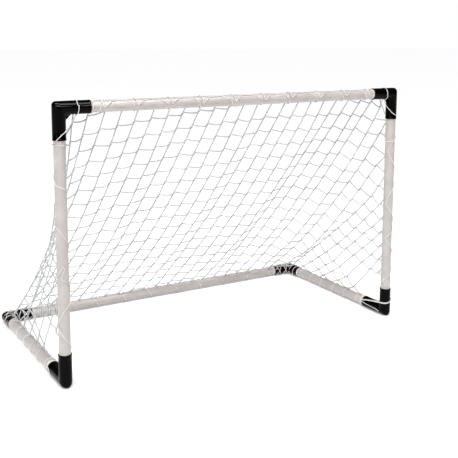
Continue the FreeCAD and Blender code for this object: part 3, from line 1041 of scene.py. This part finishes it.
for side, x, inwards in (("left", -SIDE_X, 1), ("right", SIDE_X, -1)):
    outer = -inwards
    hold = LACING_HOLD + SOCKET_LIFT
    top = np.array((x, FRONT_Y, TOP_Z))
    loop_run = 0.036 if side == "left" else 0.024
    post_run = 0.074 if side == "left" else 0.058
    post_lift = 0.0 if side == "left" else SOCKET_LIFT
    cross = [
        over(
            top + (inwards * loop_run, -0.006, -hold),
            top + (inwards * 0.030, -0.004, -0.022),
            top + (inwards * 0.012, -hold * 0.86, -0.046),
            top + (outer * 0.004, -hold - 0.0008, -0.057),
            top + (outer * hold * 0.86, -hold * 0.5, -post_run + 0.004),
            top + (outer * (hold - 0.0004), 0.004, -post_run),
        ),
        over(
            top + (inwards * (loop_run + 0.002), 0.004, -hold),
            top + (inwards * 0.033, 0.003, -0.026),
            top + (inwards * 0.0155, 0.004, -0.052),
            top + (inwards * (LACING_HOLD + post_lift), 0.004, -post_run - 0.001),
        ),
    ]
    rings = [
        ring(top, (inwards, 0, 0), (0, -1, 0), loop_run, 1.0, SOCKET_LIFT, 20.0),
        ring(top, (inwards, 0, 0), (0, -1, 0), TOP_LEG + 0.002, 1.5, 0.0, 100.0),
    ]
    if side == "left":
        rings.append(ring(top, (0, 0, -1), (0, -1, 0), post_run, 1.5, post_lift, 60.0))
    lacing(f"tie_top_{side}", cross + rings, [f"top_{side}_tie"], "front_frame")

    foot = np.array((x, FRONT_Y, GROUND_Z))
    wraps = [ring(foot, (0, 1, 0), (outer, 0, 0), FOOT_SIDE_LEG + 0.002, 3.0, 0.0, 30.0)]
    if side == "right":
        reach = FOOT_SIDE_LEG + 0.003
        two_cords_side_by_side = (0.0, 0.0019)
        for drop in two_cords_side_by_side:
            level = foot - (0, 0, drop)
            wraps.append(
                over(
                    level + (inwards * 0.013, reach, 0.006),
                    level + (inwards * 0.018, 0.050, 0.016),
                    level + (inwards * (hold + 0.003), 0.012, 0.022),
                    level + (inwards * 0.012, -hold * 0.90, 0.023),
                    level + (0.0, -hold - 0.0014, 0.025),
                    level + (outer * 0.012, -hold * 0.85, 0.029),
                    level + (outer * (hold + 0.0016), 0.002, 0.035),
                    level + (outer * (hold + 0.004), 0.008, 0.034),
                    level + (outer * (hold + 0.0055), 0.012, 0.040),
                )
            )
        wraps += [
            over(
                foot + (inwards * 0.0142, reach, 0.002),
                foot + (inwards * 0.0165, 0.050, 0.000),
                foot + (inwards * (hold + 0.0012), 0.020, -0.001),
                foot + (inwards * (hold + 0.0008), 0.006, -0.004),
            ),
            over(
                foot + (outer * (hold + 0.0006), 0.002, 0.036),
                foot + (outer * (hold + 0.0014), 0.001, 0.048),
                foot + (outer * (hold + 0.0004), -0.002, 0.060),
            ),
        ]
    else:
        wraps += [
            over(
                foot + (outer * 0.0138, FOOT_SIDE_LEG + 0.004, 0.004),
                foot + (outer * (hold + 0.0006), 0.070, 0.006),
                foot + (outer * (hold + 0.0002), 0.062, -0.004),
            ),
        ]
    lacing(f"tie_front_{side}", wraps, [f"front_{side}_tie"], "ground_frame")

    rear = np.array((x, REAR_Y, GROUND_Z))
    crossed = [
        ring(rear, (inwards, 0, 0), (0, -1, 0), REAR_CROSS_LEG + 0.002, 2.5, 0.0, 40.0),
        ring(rear, (0, -1, 0), (outer, 0, 0), REAR_SIDE_LEG + 0.002, 2.0, 0.0, 80.0),
    ]
    if side == "left":
        beside_elbow = REAR_CROSS_LEG + 0.010
        crossed.append(ring(rear, (inwards, 0, 0), (0, -1, 0), beside_elbow, 11.0, 0.0, 70.0, OPEN_TURNS))
    for first, climb in CROSSINGS:
        for hand, lift in ((1, SOCKET_LIFT + 0.0002), (-1, SOCKET_LIFT + 0.0018)):
            stations = []
            for turn in range(0, 600, 30):
                run = CROSSING_START + climb * turn / 360
                if run < CROSSING_END:
                    stations.append((run, hand * (first + turn), lift))
            crossed.append(wound(rear, (inwards, 0, 0), (0, -1, 0), stations))
    stations = [(0.014 + 0.018 * turn / 360, 40.0 + turn, SOCKET_LIFT + 0.0004) for turn in range(0, 700, 30)]
    crossed += [
        wound(rear, (0, -1, 0), (outer, 0, 0), stations),
        over(
            rear + (inwards * 0.022, -hold * 0.8, 0.0095),
            rear + (inwards * 0.006, -0.006, hold + 0.0008),
            rear + (outer * 0.006, 0.006, hold + 0.0006),
            rear + (outer * (hold + 0.0004), 0.006, 0.004),
        ),
        over(
            rear + (outer * hold * 0.8, -0.030, hold * 0.6),
            rear + (outer * 0.002, -0.010, hold + 0.0012),
            rear + (inwards * 0.010, 0.006, hold + 0.0008),
            rear + (inwards * 0.014, hold + 0.0006, 0.003),
        ),
    ]
    lacing(f"tie_rear_{side}", crossed, [f"rear_{side}_tie"], "ground_frame")

# Studio. A wide, flat, pale matt floor with a little light of its own, narrow soft boxes at the left and
# overhead, two strips seen only as reflections, a broad soft sun from the upper left, and bright even air.

FLOOR_REACH = 30.0
FLOOR_GLOW = 0.16
LAMPS_AIM = (0, 0, 0.3)
floor_material = new_material("Studio floor pale matt")
floor_shader = add(
    floor_material,
    "ShaderNodeBsdfPrincipled",
    {
        "Base Color": linear("#F5F5F5"),
        "Roughness": 0.9,
        "Emission Color": linear("#FFFFFF"),
        "Emission Strength": FLOOR_GLOW,
    },
)
finish_material(floor_material, floor_shader)
floor_corners = [(x * FLOOR_REACH, y * FLOOR_REACH, 0) for x, y in ((-1, -1), (1, -1), (1, 1), (-1, 1))]
floor = mesh_object("studio_floor", floor_corners, [(0, 1, 2, 3)], floor_material)


def soft_box(name, place, width, height, power):
    light = bpy.data.lights.new(name, "AREA")
    light.shape = "RECTANGLE"
    light.size, light.size_y, light.energy = width, height, power
    lamp = bpy.data.objects.new(name, light)
    bpy.context.scene.collection.objects.link(lamp)
    lamp.location = place
    lamp.rotation_euler = (Vector(LAMPS_AIM) - Vector(place)).to_track_quat("-Z", "Y").to_euler()
    return lamp


soft_box("left_soft_box", (-2.6, -1.6, 1.6), width=0.12, height=2.2, power=22)
soft_box("top_soft_box", (0.0, -0.7, 2.6), width=2.8, height=0.12, power=30)
# The strips draw thin bright lines on the glossy black elbows.
for name, place in (("upper_strip", (-0.4, -1.0, 2.6)), ("lower_strip", (-0.8, -2.6, 1.9))):
    soft_box(name, place, width=2.8, height=0.4, power=130).visible_diffuse = False
sun_data = bpy.data.lights.new("studio_sun", "SUN")
sun_data.energy = 1.5
sun_data.angle = math.radians(35)
sun = bpy.data.objects.new("studio_sun", sun_data)
bpy.context.scene.collection.objects.link(sun)
sunbeam = Vector((0.35, 0.45, -1.0))
sun.rotation_euler = sunbeam.to_track_quat("-Z", "Y").to_euler()

# The air is white where it is seen, softer where it lights the goal, and dark where gloss reflects it, so
# that the black elbows stay black.
AIR_SEEN, AIR_LIGHTING, AIR_REFLECTED = 1.0, 0.55, 0.1
world = bpy.data.worlds.new("studio_air")
world.use_nodes = True
sky = world.node_tree.nodes["Background"]
sky.inputs["Color"].default_value = (1, 1, 1, 1)
seen = add(world, "ShaderNodeLightPath")
gloss = add(
    world,
    "ShaderNodeMapRange",
    {"Value": seen.outputs["Is Glossy Ray"], "To Min": AIR_LIGHTING, "To Max": AIR_REFLECTED},
)
air = add(
    world,
    "ShaderNodeMapRange",
    {"Value": seen.outputs["Is Camera Ray"], "To Min": gloss.outputs[0], "To Max": AIR_SEEN},
)
world.node_tree.links.new(air.outputs[0], sky.inputs["Strength"])
bpy.context.scene.world = world

# Camera 0.75 m above the ground, 1.6 m in front of the mouth and 1 m to its left, looking slightly down.
EYE = (-0.97087, -1.81495, 0.74987)
YAW, PITCH, ROLL = math.radians(-31.4135), math.radians(-8.2912), math.radians(0.3638)
forward = Vector((-math.sin(YAW) * math.cos(PITCH), math.cos(YAW) * math.cos(PITCH), math.sin(PITCH)))
level = Vector((math.cos(YAW), math.sin(YAW), 0))
upright = level.cross(forward)
right = math.cos(ROLL) * level + math.sin(ROLL) * upright
above = -math.sin(ROLL) * level + math.cos(ROLL) * upright
camera_data = bpy.data.cameras.new("camera")
camera_data.lens = 63.70
camera_data.sensor_width = 36.0
camera_data.shift_x = -0.0349
camera_data.shift_y = -0.1725
camera = bpy.data.objects.new("camera", camera_data)
bpy.context.scene.collection.objects.link(camera)
looking = Matrix((right, above, -forward)).transposed().to_4x4()
camera.matrix_world = Matrix.Translation(EYE) @ looking
bpy.context.scene.camera = camera
bpy.context.scene.view_settings.view_transform = "Standard"
